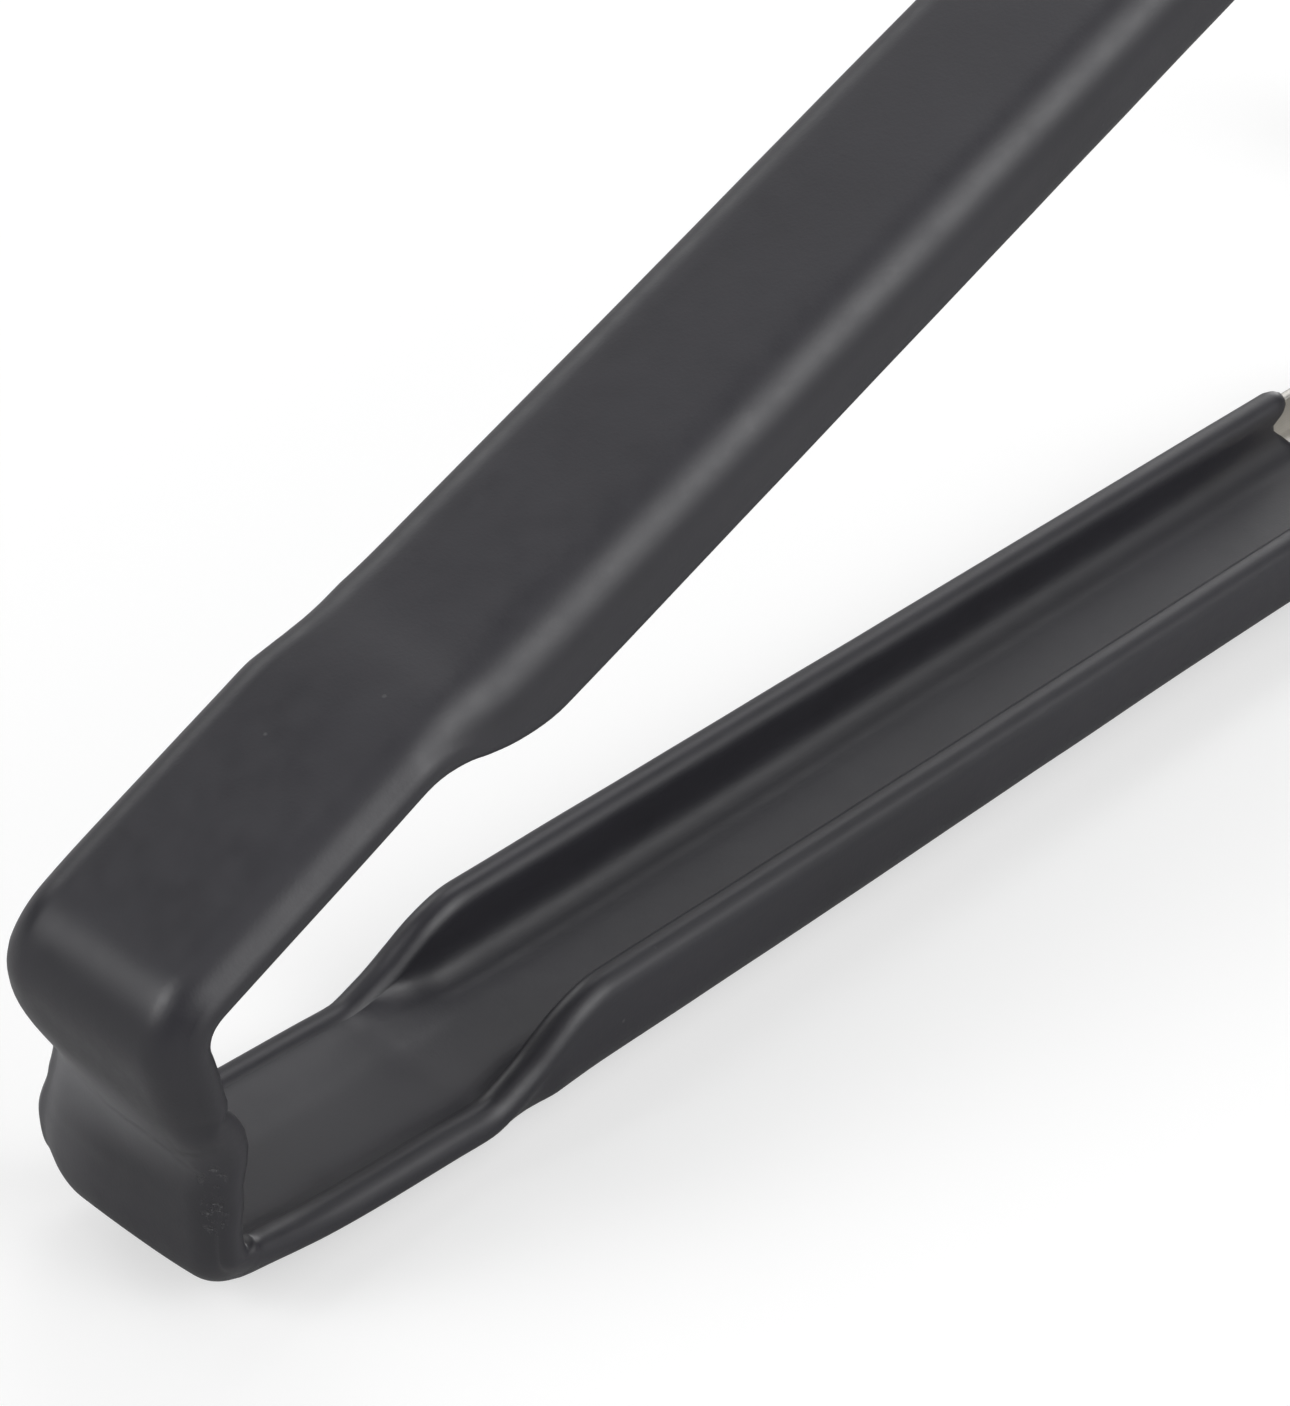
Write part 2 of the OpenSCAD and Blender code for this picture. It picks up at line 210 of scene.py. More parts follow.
# The whole line from the lower tip to the upper one, as (x, z). A position on it is the
# arc length from the bow's middle, negative on the lower half.
upper_line, lower_line = half_line(UPPER), half_line(LOWER)
LINE = smooth_line(np.vstack([(lower_line * [1, -1])[:0:-1], upper_line]),
                   LINE_BLUR / LINE_STEP)
tangents = np.gradient(LINE, axis=0)
tangents /= np.linalg.norm(tangents, axis=1)[:, None]
NORMALS = np.stack([-tangents[:, 1], tangents[:, 0]], 1)
POSITIONS = LINE_STEP * (np.arange(len(LINE)) - (len(lower_line) - 1))


def line_at(pos):
    """Point and unit normal of the line."""
    point, normal = (np.array([np.interp(pos, POSITIONS, table[:, i]) for i in range(2)])
                     for table in (LINE, NORMALS))
    return point, normal / np.linalg.norm(normal)


def position_of(row, half):
    """Line position of the point that is row along an arm."""
    beyond = np.nonzero((POSITIONS * half.sign > 20) & (LINE[:, 0] >= arm_x(row)))[0]
    return POSITIONS[beyond[0]] if half.sign > 0 else POSITIONS[beyond[-1]]


COAT_LOW, COAT_HIGH = position_of(COAT_END, LOWER), position_of(COAT_END, UPPER)


# ---------------------------------------------------------------- the strap's section
def profile(pos):
    """Half width, rim depth and corner radius, on the steel's mid surface."""
    half = UPPER if pos > 0 else LOWER
    x = line_at(pos)[0][0]
    row = x / COS + BOW_Z * SIN
    blend = ease((x - SHOULDER[0]) / (SHOULDER[1] - SHOULDER[0]))
    rim = RIM_DEPTH[0] + (RIM_DEPTH[1] - RIM_DEPTH[0]) * blend + half.swell * swell_at(x, half)
    width = HALF_WIDTH[0] + (HALF_WIDTH[1] - HALF_WIDTH[0]) * blend
    corner = CORNER_RADIUS[0] + (CORNER_RADIUS[1] - CORNER_RADIUS[0]) * blend
    if abs(pos) < RIM_KNOTS[-1]:
        rim = hermite(abs(pos), RIM_KNOTS, half.rims)
    fade = ease((row - RIM_FADE) / RIM_FADE_LEN)
    rim = rim * (1 - fade)
    corner = corner + 6 * fade
    past = abs(pos) - position_of(BEND, half) * half.sign - (TIP_LEN - TIP_CORNER)
    if past > 0:
        drop = TIP_CORNER ** 2 - min(past, TIP_CORNER) ** 2
        width = min(width, TIP_CORNER_Y + math.sqrt(max(drop, 0)))
    return width, max(rim, 0.004), corner


def half_side(width, rim, corner):
    """Points and normals of back, corner and flange from the middle out, and the fold angle."""
    fold = math.pi / 2 * min(1.0, math.sqrt(rim / 5.0))
    foot = width - rim / math.tan(fold) if fold < math.pi / 2 - 1e-6 else width
    tangent = max(0.02, min(corner * math.tan(fold / 2), 0.97 * rim / math.sin(fold), foot - 0.5))
    radius = tangent / math.tan(fold / 2)
    start = foot - tangent
    points, normals = [], []
    for i in range(BACK_N):
        points.append((start * i / BACK_N, 0.0))
        normals.append((0.0, -1.0))
    for i in range(CORNER_N):
        angle = fold * i / CORNER_N
        points.append((start + radius * math.sin(angle), radius * (1 - math.cos(angle))))
        normals.append((math.sin(angle), -math.cos(angle)))
    end_y, end_z = start + radius * math.sin(fold), radius * (1 - math.cos(fold))
    for i in range(FLANGE_N):
        t = i / FLANGE_N
        points.append((end_y + (width - end_y) * t, end_z + (rim - end_z) * t))
        normals.append((math.sin(fold), -math.cos(fold)))
    return np.array(points), np.array(normals), fold


def section(pos, thick, square, fillet):
    """Closed section, thick either side of the mid surface: the +y half, then the -y half.

    A square below 1 squares off the rim's edge. Fillet widens the inner corner's radius.
    """
    width, rim, corner = profile(pos)
    outer, outer_normals, fold = half_side(width, rim, corner)
    inner, inner_normals, _ = half_side(width, rim, corner + fillet)
    edge = []
    for i in range(EDGE_N + 1):
        angle = math.pi * i / EDGE_N
        out, up = math.cos(angle), math.sin(angle)
        out = math.copysign(abs(out) ** square, out)
        up = max(up, 0.0) ** square
        edge.append((width + thick * (math.sin(fold) * out + math.cos(fold) * up),
                     rim + thick * (-math.cos(fold) * out + math.sin(fold) * up)))
    half = np.vstack([outer + thick * outer_normals, edge,
                      (inner - thick * inner_normals)[::-1]])
    return np.vstack([half, half[1:-1][::-1] * [-1, 1]])


def settle(points, pos):
    """The bow as bent: a little wider round its corners and slightly twisted low down."""
    y = points[:, 1] / 10.0
    plus_y = np.maximum(y, 0)
    top, shed = bell(pos, 6.5, 6.0), bell(pos, 18.0, 4.0)
    low, foot, heel = bell(pos, -9, 6.0), bell(pos, -18.5, 7.5), bell(pos, -17.5, 5.0)
    out = points.copy()
    out[:, 1] += top * (0.18 + 0.5 * y + 1.3 * plus_y ** 2) \
        + low * (0.25 + 0.45 * y + 1.25 * plus_y ** 2) - shed * 0.25 * plus_y
    out[:, 2] += foot * (-0.45 * y + 0.35 * y * y) + heel * 0.8 * np.maximum(-y, 0.0) ** 4
    return out


def ring(pos, thick, square=1.0, fillet=0.0):
    """The section at a line position, in the centre-line frame."""
    point, normal = line_at(pos)
    flat = section(pos, thick, square, fillet)
    depth = flat[:, 1] + BACK
    return settle(np.stack([point[0] - normal[0] * depth, flat[:, 0],
                            point[1] - normal[1] * depth], 1), pos)


# ---------------------------------------------------------------- mesh helpers
def make(name, verts_mm, faces, uv_mm, material):
    """A smooth object with faces turned outward and a UV map in metres."""
    mesh = bpy.data.meshes.new(name)
    mesh.from_pydata([tuple(v) for v in np.asarray(verts_mm) / 1000.0], [], faces)
    mesh.update()
    layer = mesh.uv_layers.new(name="along")
    index = np.zeros(len(mesh.loops), np.int32)
    mesh.loops.foreach_get("vertex_index", index)
    uv = np.asarray(uv_mm, float)[index] / 1000.0
    layer.data.foreach_set("uv", uv.astype(np.float32).ravel())
    mesh.polygons.foreach_set("use_smooth", [True] * len(mesh.polygons))
    mesh.validate()
    piece = bpy.data.objects.new(name, mesh)
    bpy.context.scene.collection.objects.link(piece)
    mesh.materials.append(material)
    work = bmesh.new()
    work.from_mesh(mesh)
    bmesh.ops.recalc_face_normals(work, faces=work.faces)
    work.to_mesh(mesh)
    work.free()
    return piece


def loft(rings, base=0):
    n, m = rings.shape[:2]
    return [(base + i * m + j, base + i * m + (j + 1) % m,
             base + (i + 1) * m + (j + 1) % m, base + (i + 1) * m + j)
            for i in range(n - 1) for j in range(m)]


def ring_uv(positions, rings):
    """U is the line position, v the distance round the ring."""
    lengths = np.linalg.norm(np.diff(rings, axis=1, append=rings[:, :1]), axis=2)
    v = np.cumsum(lengths, axis=1) - lengths
    u = np.repeat(np.array(positions)[:, None], rings.shape[1], 1)
    return np.stack([u, v], -1).reshape(-1, 2)


def stations(start, end):
    """Line positions from start to end: close round the bow and the shoulders."""
    out, pos = [start], start
    while True:
        x = line_at(pos)[0][0]
        pos += 0.5 if x < 12 else 0.8 if x < 46 else 2.5
        if pos >= end - 0.4:
            break
        out.append(pos)
    return out + [end]


# ---------------------------------------------------------------- shader helpers
class Graph:
    """A node tree with short ways to add linked nodes."""

    def __init__(self, tree):
        self.tree = tree
        tree.nodes.clear()

    def feed(self, socket, value):
        """Links a socket to the value, or sets it if the value is plain."""
        if isinstance(value, bpy.types.NodeSocket):
            self.tree.links.new(value, socket)
        else:
            socket.default_value = value

    def add(self, kind, inputs=None, **settings):
        node = self.tree.nodes.new("ShaderNode" + kind)
        for key, value in settings.items():
            setattr(node, key, value)
        for key, value in (inputs or {}).items():
            self.feed(node.inputs[key], value)
        return node

    def noise(self, vector, scale, detail=3.0, rough=0.55):
        return self.add("TexNoise", {"Scale": scale, "Detail": detail, "Roughness": rough,
                                     "Vector": vector}).outputs["Fac"]

    def remap(self, value, span, to=(0.0, 1.0), curve="LINEAR"):
        inputs = {1: span[0], 2: span[1], 3: to[0], 4: to[1], 0: value}
        return self.add("MapRange", inputs, interpolation_type=curve).outputs[0]

    def math(self, operation, first, second):
        return self.add("Math", {0: first, 1: second}, operation=operation).outputs[0]

    def times(self, first, second):
        return self.math("MULTIPLY", first, second)

    def plus(self, first, second):
        return self.math("ADD", first, second)

    def mix(self, factor, first, second):
        first, second = ((*c, 1.0) if isinstance(c, tuple) else c for c in (first, second))
        return self.add("Mix", {0: factor, 6: first, 7: second}, data_type="RGBA").outputs[2]

    def relief(self, *layers, normal=None):
        """Stacked bumps, each (height, distance in metres, strength)."""
        for height, distance, strength in layers:
            inputs = {"Strength": strength, "Distance": distance, "Height": height}
            if normal is not None:
                inputs["Normal"] = normal
            normal = self.add("Bump", inputs).outputs[0]
        return normal

    def near(self, vector, centre, radii, core):
        """1 inside the core share of an ellipsoid, fading to 0 at its edge."""
        for operation, operand in (("SUBTRACT", centre), ("DIVIDE", radii)):
            vector = self.add("VectorMath", {0: vector, 1: operand},
                              operation=operation).outputs[0]
        length = self.add("VectorMath", {0: vector}, operation="LENGTH").outputs["Value"]
        return self.remap(length, span=(1.0, core), curve="SMOOTHSTEP")


def new_material(name):
    material = bpy.data.materials.new(name)
    material.use_nodes = True
    graph = Graph(material.node_tree)
    output = graph.add("OutputMaterial")
    surface = graph.add("BsdfPrincipled")
    graph.feed(output.inputs[0], surface.outputs[0])
    return material, graph, surface


def set_surface(graph, surface, values):
    for key, value in values.items():
        graph.feed(surface.inputs[key], value)


def shade(colour, factor):
    return tuple(c * factor for c in colour)


# ---------------------------------------------------------------- materials
VINYL = (0.0245, 0.0237, 0.0292)
# the next colour is the tone of painted reflected light on the grip
PAINTED_LIGHT_TONE = (0.21, 0.21, 0.22)
FLECK = (0.14, 0.14, 0.145)
SCUFF = (0.10, 0.10, 0.104)

# Scuffed spots of the grip: centre (centre-line frame, mm), radii (m).
SCUFFS = [((1.6, -9.2, -1.6), (0.0024, 0.0014, 0.0016)),
          ((0.9, -9.4, -5.2), (0.0022, 0.0013, 0.0030)),
          ((3.0, -9.2, -14.2), (0.0030, 0.0016, 0.0018))]
# Painted reflected light: pale patches mixed into the grip's colour round the bow's crease and
# lobes: centre (centre-line frame, mm), radii (m), paleness.
PAINTED_LIGHT_SPOTS = [((1.2, 6.0, 0.6), (0.0100, 0.0190, 0.0068), 0.85),
         ((1.0, 12.0, -6.0), (0.0080, 0.0105, 0.0130), 0.50),
         ((0.0, 12.5, 5.5), (0.0080, 0.0080, 0.0085), 0.50)]


def row_metres(point_mm):
    return tuple(to_row(point_mm) / 1000.0)


def vinyl(name, scuffs=(), painted_light_spots=()):
    material, graph, surface = new_material(name)
    place = graph.add("TexCoord").outputs["Object"]
    broad = graph.noise(place, scale=45.0, detail=2.0)                # slow variation of the dip
    cloud = graph.noise(place, scale=420.0, detail=4.0, rough=0.6)    # blotchy sheen
    grain = graph.noise(place, scale=3600.0, detail=2.0, rough=0.5)   # fine matte grain
    # dust flecks and pinholes, in a few of the cells
    cells = graph.add("TexVoronoi", {"Scale": 420.0, "Vector": place})
    pick = graph.add("SeparateColor", {0: cells.outputs["Color"]}).outputs[0]
    chosen = graph.remap(pick, span=(0.93, 0.97))
    spot = graph.remap(cells.outputs["Distance"], span=(0.10, 0.05))
    fleck = graph.times(chosen, spot)

    colour = graph.mix(graph.remap(broad, span=(0.3, 0.7)), shade(VINYL, 0.86),
                       shade(VINYL, 1.14))
    sheen = graph.times(graph.remap(cloud, span=(0.35, 0.75)), 0.35)
    colour = graph.mix(sheen, colour, shade(VINYL, 1.25))
    # painted reflected light: pale patches mixed into the colour round the bow's crease and lobes
    for centre, radii, paleness in painted_light_spots:
        mask = graph.near(place, row_metres(centre), radii, core=0.05)
        amount = graph.times(graph.remap(cloud, span=(0.2, 0.8), to=(0.8, 1.0)), paleness)
        colour = graph.mix(graph.times(mask, amount), colour, PAINTED_LIGHT_TONE)
    colour = graph.mix(graph.times(fleck, 0.35), colour, FLECK)
    sheen_rough = graph.remap(cloud, span=(0.3, 0.7), to=(0.35, 0.43))
    rough = graph.plus(sheen_rough, graph.times(grain, 0.06))
    normal = graph.relief((broad, 0.00025, 0.6), (cloud, 0.00003, 0.7),
                          (grain, 0.000012, 0.8), (fleck, -0.00003, 0.5))
    if scuffs:
        mask = None
        for centre, radii in scuffs:
            patch = graph.near(place, row_metres(centre), radii, core=0.55)
            mask = patch if mask is None else graph.math("MAXIMUM", mask, patch)
        chips = graph.noise(place, scale=1500.0, rough=0.7)
        worn = graph.times(mask, graph.remap(chips, span=(0.53, 0.68)))
        colour = graph.mix(graph.times(worn, 0.55), colour, SCUFF)
        rough = graph.plus(rough, graph.times(worn, 0.12))
        normal = graph.relief((worn, -0.00012, 0.9), normal=normal)
    set_surface(graph, surface, {"Base Color": colour, "Roughness": rough, "Normal": normal,
                                 "IOR": 1.5, "Specular IOR Level": 0.60})
    return material


def steel(name, tone=(0.60, 0.585, 0.555), streak=(35.0, 9000.0), gloss=(0.24, 0.40),
          brushed=True):
    """Steel with fine lines. Streak is the line noise's scale along u and v."""
    material, graph, surface = new_material(name)
    place = graph.add("TexCoord").outputs["Object"]
    uv = graph.add("UVMap", uv_map="along").outputs[0]

    def streaks(scale, **look):
        mapping = graph.add("Mapping", {"Scale": (*scale, 1.0), "Vector": uv})
        return graph.noise(mapping.outputs[0], scale=1.0, **look)

    lines = streaks(streak, detail=4.0, rough=0.6)
    bands = streaks((streak[0] * 3, streak[1] * 0.22))
    cloud = graph.noise(place, scale=120.0)
    scratch = graph.times(graph.remap(bands, span=(0.66, 0.74)), 0.5)
    colour = graph.mix(graph.remap(lines, span=(0.3, 0.7)), shade(tone, 0.90), shade(tone, 1.08))
    warm = (tone[0] * 0.9, tone[1] * 0.86, tone[2] * 0.80)
    colour = graph.mix(graph.times(cloud, 0.25), colour, warm)
    colour = graph.mix(scratch, colour, shade(tone, 1.2))
    line_rough = graph.remap(lines, span=(0.25, 0.75), to=gloss)
    rough = graph.plus(line_rough, graph.times(cloud, 0.06))
    normal = graph.relief((lines, 0.000006, 0.8), (bands, 0.000010, 0.5))
    set_surface(graph, surface, {"Base Color": colour, "Roughness": rough, "Normal": normal,
                                 "Metallic": 1.0})
    if brushed:
        tangent = graph.add("Tangent", direction_type="UV_MAP", uv_map="along").outputs[0]
        set_surface(graph, surface, {"Tangent": tangent, "Anisotropic": 0.45})
    return material


# the grip gets real scuffs and patches of painted reflected light round the bow
GRIP = vinyl("grip_vinyl", SCUFFS, PAINTED_LIGHT_SPOTS)
JAW_VINYL = vinyl("jaw_vinyl")
STRAP_STEEL = steel("strap_steel")
JAW_STEEL = steel("jaw_steel", streak=(60.0, 7000.0))
RIVET_STEEL = steel("rivet_steel", tone=(0.66, 0.65, 0.63), streak=(300.0, 2500.0),
                    gloss=(0.16, 0.26), brushed=False)


# ---------------------------------------------------------------- the strap
def arm_stations(half):
    """Line positions from the coating's end outward, closing up round the tip's corners."""
    sign, bend = half.sign, position_of(BEND, half)
    tip = bend + sign * TIP_LEN
    knots = (position_of(COAT_END, half), position_of(RIM_FADE, half), bend - sign * 2,
             tip - sign * (TIP_CORNER + 0.2))
    out = []
    for start, end, count in zip(knots, knots[1:], (8, 30, 14)):
        out += list(np.linspace(start, end, count + 1)[1:])
    return out + [tip - sign * TIP_CORNER + sign * TIP_CORNER * math.sin(math.pi / 2 * k / 14)
                  for k in range(15)]


def strap():
    """One piece of spring steel from tip to tip."""
    low, high = position_of(BEND, LOWER) - TIP_LEN, position_of(BEND, UPPER) + TIP_LEN
    positions = arm_stations(LOWER) + stations(COAT_LOW, COAT_HIGH) + arm_stations(UPPER)
    positions = sorted(set(round(pos, 5) for pos in positions))
    rings = []
    for pos in positions:
        to_end = min(high - pos, pos - low)
        thick = STEEL / 2
        if to_end <= 0.25:      # the ends' edges are eased
            thick *= 0.72 + 0.28 * math.sqrt(max(0.0, 1 - (1 - to_end / 0.25) ** 2))
        rings.append(ring(pos, thick, square=0.55))
    rings = np.array(rings)
    faces = loft(rings)
    n, m = rings.shape[:2]
    for base in (0, (n - 1) * m):
        # each end is closed by a strip across the ring; its first and last faces are triangles
        for j in range(m // 2):
            corners = (base + j, base + j + 1, base + m - j - 1, base + (m - j) % m)
            faces.append(tuple(dict.fromkeys(corners)))
    return make("steel_strap", to_row(rings).reshape(-1, 3), faces, ring_uv(positions, rings),
                STRAP_STEEL)


# ---------------------------------------------------------------- the dipped skin
# How far the skin's edge runs on (+) or falls short (-) round the section:
# point of the half section, mm on the +y half, mm on the -y half.
SKIN_EDGE = np.array([
    (0, 0.15, 0.15), (5, 0.3, 0.1), (12, 0.1, 0.35), (17, -0.2, 0.1), (19, -0.1, -0.1),
    (22, 0.1, 0.0), (25, -0.2, -0.2), (27, -0.9, -0.7), (29, -2.1, -1.7), (31, -1.9, -1.6),
    (33, -0.5, -0.4), (36, 1.0, 0.8), (39, 0.7, 0.6), (44, 0.1, 0.1)])
# Distances of the last rings from the skin's edge.
SKIN_END = [2.4, 1.9, 1.45, 1.05, 0.72, 0.45, 0.24, 0.09, 0.0]
SKIN_ROUND = 1.9             # length over which the skin thins to its edge
EDGE_REACH = 9.0             # length over which the edge's unevenness dies out
SKIN_WAVE = 0.035            # height of the skin's unevenness


def both_halves(plus_y, minus_y):
    """Values round a whole ring from the values of its two halves."""
    return np.r_[plus_y, minus_y[1:-1][::-1]]


EDGE_SHIFT = both_halves(*(np.interp(np.arange(HALF_POINTS), SKIN_EDGE[:, 0], SKIN_EDGE[:, side])
                           for side in (1, 2)))
half_share = np.r_[np.ones(11), ease(np.linspace(1, 0, INSIDE - 10)[1:]),
                   np.zeros(HALF_POINTS - INSIDE)]
OUTER_SHARE = both_halves(half_share, half_share)    # 1 on the back, 0 on the inner face
# Inner face from the rim to the middle: ring points, y where the fill starts, its share.
RIM_FILLS = ((np.arange(INSIDE, HALF_POINTS), 1.5, 1.0),
             (np.arange(2 * HALF_POINTS - 2 - INSIDE, HALF_POINTS - 1, -1), 5.0, 0.5))


def fill_rims(points, pos):
    """The dip also fills the inside of the shallow rims, most on the +y half."""
    point, normal = line_at(pos)
    run = float(ease((abs(pos) - 14) / 6.0)) * (1 - float(ease((point[0] - 27) / 11.0)))
    if run <= 0:
        return
    for ids, start_y, share in RIM_FILLS:
        depth = (point[0] - points[ids, 0]) * normal[0] + (point[1] - points[ids, 2]) * normal[1]
        y = np.abs(points[ids, 1])
        goal = depth[-1] + (depth[0] - depth[-1]) * ease((y - start_y) / (y[0] - start_y))
        lift = run * share * np.maximum(goal - depth, 0)
        points[ids] -= lift[:, None] * np.array([normal[0], 0, normal[1]])


def bridge_crease(points, pos):
    """The dip bridges the crease of the bow: a soft lobe above, a slow slope below."""
    if abs(pos) >= 17:
        return
    y = np.clip(points[:, 1] / 10.0, -1, 1)
    z = line_at(pos)[0][1]
    half = UPPER if z > 0 else LOWER
    deep = 2.1 + 0.8 * np.maximum(y, 0) - 0.9 * np.maximum(-y, 0) ** 2
    above = z + 1.8 - 1.3 * ease((y - 0.3) / 0.7)
    lobe = np.exp(-(np.abs(above) / 5.2) ** 1.7)
    slope = np.clip(1 - np.abs(above) / 11.5, 0, 1) ** 1.4
    want = deep * np.where(above > 0, lobe, slope)
    have = CREASE_DEPTH * math.exp(-(abs(z) / half.crease_width) ** half.crease_power)
    fade = float(ease((17 - abs(pos)) / 5.0))
    crown = 0.4 * y * y * float(ease((9 - pos) / 6.0))
    points[:, 0] += OUTER_SHARE * fade * (np.clip(want - have, -1.0, 0.75) + crown)


def shift_edge(points, pos, to_end):
    """Moves the rings near the skin's edge along the arm, unevenly."""
    share = float(ease(1 - to_end / EDGE_REACH))
    if share > 0:
        normal = line_at(pos)[1]
        along = np.array([normal[1], 0, -normal[0]])
        along = along * (1 if along[0] > 0 else -1)
        points += share * EDGE_SHIFT[:, None] * along


def undulate(rings):
    """The slow unevenness of a dipped skin."""
    around = np.roll(rings, -1, 1) - np.roll(rings, 1, 1)
    normals = np.cross(np.gradient(rings, axis=0), around)
    normals /= np.linalg.norm(normals, axis=2, keepdims=True) + 1e-12
    out = rings.copy()
    for spot in np.ndindex(rings.shape[:2]):
        x, y, z = rings[spot]
        fine = noise.noise(Vector((x * 0.11, y * 0.16, z * 0.11)))
        broad = noise.noise(Vector((x * 0.035 + 7, y * 0.05, z * 0.035)))
        out[spot] += normals[spot] * SKIN_WAVE * (fine + 1.3 * broad)
    return out


def skin():
    """One piece of vinyl over the strap, with an inner face close to the steel."""
    positions = [COAT_LOW + d for d in SKIN_END[::-1]] + stations(COAT_LOW + 3, COAT_HIGH - 3) \
        + [COAT_HIGH - d for d in SKIN_END]
    inner_thick = STEEL / 2 + 0.02
    full = BACK - inner_thick
    outer, inner = [], []
    for pos in positions:
        to_end = min(COAT_HIGH - pos, pos - COAT_LOW)
        thick = BACK
        if to_end <= SKIN_ROUND:
            round_off = math.sqrt(max(0.0, 1 - (1 - to_end / SKIN_ROUND) ** 2))
            thick = inner_thick + 0.06 + (full - 0.06) * round_off
        outer_ring = ring(pos, thick, fillet=2.0 * (thick - inner_thick) / full)
        inner_ring = ring(pos, inner_thick, square=0.55)
        fill_rims(outer_ring, pos)
        bridge_crease(outer_ring, pos)
        for points in (outer_ring, inner_ring):
            shift_edge(points, pos, to_end)
        outer.append(outer_ring)
        inner.append(inner_ring)
    outer, inner = undulate(np.array(outer)), np.array(inner)
    n, m = outer.shape[:2]
    faces = loft(outer) + [f[::-1] for f in loft(inner, n * m)]
    for base in (0, (n - 1) * m):
        for j in range(m):
            a, b = base + j, base + (j + 1) % m
            face = (a, b, n * m + b, n * m + a)
            faces.append(face if base else face[::-1])
    verts = np.vstack([to_row(layer).reshape(-1, 3) for layer in (outer, inner)])
    uv = np.vstack([ring_uv(positions, outer)] * 2)
    return make("dipped_grip", verts, faces, uv, GRIP)


# ---------------------------------------------------------------- the jaws, in the tip's frame
# Tip frame: x along the flat end from the bend, y across, z from the steel toward the
# other arm.
def tip_to_row(points, upper):
    points = np.asarray(points, float)
    bend = math.radians(BEND_ANGLE)
    x = points[..., 0] * math.cos(bend) - points[..., 2] * math.sin(bend) + BEND
    z = points[..., 0] * math.sin(bend) + points[..., 2] * math.cos(bend) + (BACK - STEEL / 2)
    if upper:
        # mirrored over the centre line
        mirrored_z = x * SIN - (z - AXIS_Z) * COS
        return to_row(np.stack([x * COS + (z - AXIS_Z) * SIN, points[..., 1], mirrored_z], -1))
    return np.stack([x + SHIFT, points[..., 1], z], -1)


def arc(x, y, radius, start, end, count=24):
    angles = np.radians(np.linspace(start, end, count + 1))
    return [(x + radius * math.cos(a), y + radius * math.sin(a)) for a in angles]


def closed_resample(outline, step, sigma):
    """Even points round a closed outline, with its corners smoothed over sigma."""
    points = np.array(outline)
    loop = np.vstack([points, points[:1]])
    loop = loop[np.r_[True, np.hypot(*np.diff(loop, axis=0).T) > 1e-9]]
    lengths = np.r_[0, np.cumsum(np.hypot(*np.diff(loop, axis=0).T))]
    count = int(round(lengths[-1] / step))
    at = np.arange(count) * lengths[-1] / count
    points = np.stack([np.interp(at, lengths, loop[:, i]) for i in range(2)], 1)
    reach = int(3 * sigma / step) + 1
    weights = np.exp(-0.5 * (np.arange(-reach, reach + 1) * step / sigma) ** 2)
    weights /= weights.sum()
    return sum(weights[i + reach] * np.roll(points, -i, 0) for i in range(-reach, reach + 1))


def jaw_outline(grow):
    """Plan of the jaw, grown outward. Ungrown it has the tang; grown it stops at the neck."""
    x0, x1 = JAW_START - grow, JAW_START + JAW_LEN + grow
    side = JAW_WIDTH / 2 + grow
    radius = JAW_CORNER + grow
    neck = NECK_RADIUS - grow
    neck_x, neck_y = JAW_START - NECK_RADIUS, TANG_WIDTH / 2 + NECK_RADIUS
    if grow:
        neck_angle, count = math.degrees(math.acos((TIP_LEN + 0.6 - neck_x) / neck)), 12
        tang_low = tang_high = []
    else:
        neck_angle, count = 90, 16
        tang_y = TANG_WIDTH / 2 - TANG_CORNER
        tang_low = arc(6.0, -tang_y, TANG_CORNER, 180, 270, 12)
        tang_high = arc(6.0, tang_y, TANG_CORNER, 90, 180, 12)
    return tang_low + arc(neck_x, -neck_y, neck, neck_angle, 0, count) \
        + arc(x0 + radius, -side + radius, radius, 180, 270) \
        + arc(x1 - radius, -side + radius, radius, 270, 360) \
        + arc(x1 - radius, side - radius, radius, 0, 90) \
        + arc(x0 + radius, side - radius, radius, 90, 180) \
        + arc(neck_x, neck_y, neck, 0, -neck_angle, count) + tang_high


def jaw_mid(x, y):
    """Height of the jaw's mid surface, curved across beyond the tang."""
    roll = float(ease((x - ROLL_START) / (JAW_START - ROLL_START)))
    y = max(-JAW_MID_RADIUS + 0.1, min(JAW_MID_RADIUS - 0.1, y))
    sag = JAW_MID_RADIUS - math.sqrt(JAW_MID_RADIUS * JAW_MID_RADIUS - y * y)
    return 1.5 * STEEL + roll * sag


def jaw_lift(x, y, height):
    """The point at a height off the mid surface, along its normal."""
    e = 1e-3
    slope_x = (jaw_mid(x + e, y) - jaw_mid(x - e, y)) / (2 * e)
    slope_y = (jaw_mid(x, y + e) - jaw_mid(x, y - e)) / (2 * e)
    normal = np.array([-slope_x, -slope_y, 1.0])
    normal /= np.linalg.norm(normal)
    return np.array([x, y, jaw_mid(x, y)]) + height * normal


def fill_points(edge, outline, grid):
    """Staggered grid points inside the edge."""
    low, high = outline.min(0), outline.max(0)
    columns = np.arange(low[0] + 0.6, high[0], grid)
    rows = np.arange(-math.floor(high[1] / grid) * grid, high[1], grid)
    after = np.roll(edge, -1, 0)

    def inside(point):
        crosses = (edge[:, 1] > point[1]) != (after[:, 1] > point[1])
        with np.errstate(divide="ignore", invalid="ignore"):
            cross_x = edge[:, 0] + (point[1] - edge[:, 1]) * (after[:, 0] - edge[:, 0]) \
                / (after[:, 1] - edge[:, 1])
        return int((crosses & (point[0] < cross_x)).sum()) % 2 == 1 \
            and np.hypot(*(edge - point).T).min() > grid * 0.55

    return [(x, y) for i, x in enumerate(columns) for y in rows + (grid / 2 if i % 2 else 0)
            if inside(np.array((x, y)))]


